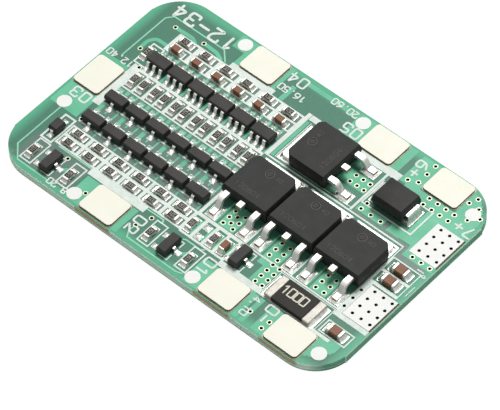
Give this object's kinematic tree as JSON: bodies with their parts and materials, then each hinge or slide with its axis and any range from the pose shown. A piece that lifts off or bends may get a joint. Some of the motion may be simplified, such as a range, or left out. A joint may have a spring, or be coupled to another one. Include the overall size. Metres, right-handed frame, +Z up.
{
  "type": "battery management board",
  "caption": "Flat populated circuit board with soldered nickel tabs, bare load pads, repeated cell channels and surface-mount MOSFETs.",
  "frame": {"origin": "centre of the board's underside", "axes": "+X along the long side towards the load pads, +Y along the short side towards the cell capacitors, +Z up through the component side"},
  "size_m": [0.0502, 0.0312, 0.0034],
  "materials": {
    "solder_mask": "green solder mask over glass laminate",
    "via_copper": "plated copper rings",
    "tinned_land": "hot-air-levelled tin",
    "nickel": "soft nickel strip",
    "tinned_lead": "tinned lead frame",
    "resistor_film": "glazed film on ceramic",
    "capacitor_ceramic": "fired ceramic",
    "shunt_coating": "matt coating",
    "moulding_compound": "moulded epoxy"
  },
  "bodies": {
    "root": {"circuit_board": "solder_mask", "plated_vias": "via_copper", "load_pad_minus": "tinned_land", "load_pad_plus": "tinned_land", "tab_lands": "tinned_land", "test_pads": "tinned_land", "component_lands": "tinned_land", "tab_pack_minus": "nickel", "tab_cell_1": "nickel", "tab_cell_2": "nickel", "tab_cell_3": "nickel", "tab_cell_4": "nickel", "tab_cell_5": "nickel", "tab_pack_plus": "nickel", "cell_monitor_1": "moulding_compound", "cell_monitor_2": "moulding_compound", "cell_monitor_3": "moulding_compound", "cell_monitor_4": "moulding_compound", "cell_monitor_5": "moulding_compound", "cell_monitor_6": "moulding_compound", "monitor_leads": "tinned_lead", "balance_driver_1": "moulding_compound", "balance_driver_2": "moulding_compound", "balance_driver_3": "moulding_compound", "balance_driver_4": "moulding_compound", "balance_driver_5": "moulding_compound", "balance_driver_6": "moulding_compound", "driver_leads": "tinned_lead", "balance_switch_1": "moulding_compound", "balance_switch_2": "moulding_compound", "balance_switch_3": "moulding_compound", "balance_switch_4": "moulding_compound", "balance_switch_5": "moulding_compound", "balance_switch_6": "moulding_compound", "switch_leads": "tinned_lead", "gate_transistor_1": "moulding_compound", "gate_transistor_2": "moulding_compound", "gate_transistor_3": "moulding_compound", "gate_leads": "tinned_lead", "mosfet_1_case": "moulding_compound", "mosfet_2_case": "moulding_compound", "mosfet_3_case": "moulding_compound", "mosfet_4_case": "moulding_compound", "mosfet_1_frame": "tinned_lead", "mosfet_2_frame": "tinned_lead", "mosfet_3_frame": "tinned_lead", "mosfet_4_frame": "tinned_lead", "shunt_element": "shunt_coating", "shunt_terminals": "tinned_lead", "power_diode_case": "moulding_compound", "power_diode_terminals": "tinned_lead", "small_diode_case": "moulding_compound", "small_diode_leads": "tinned_lead", "resistor_bodies": "resistor_film", "resistor_terminals": "tinned_lead", "capacitor_bodies": "capacitor_ceramic", "capacitor_terminals": "tinned_lead", "filter_capacitors": "capacitor_ceramic", "filter_terminals": "tinned_lead"}
  },
  "joints": []
}
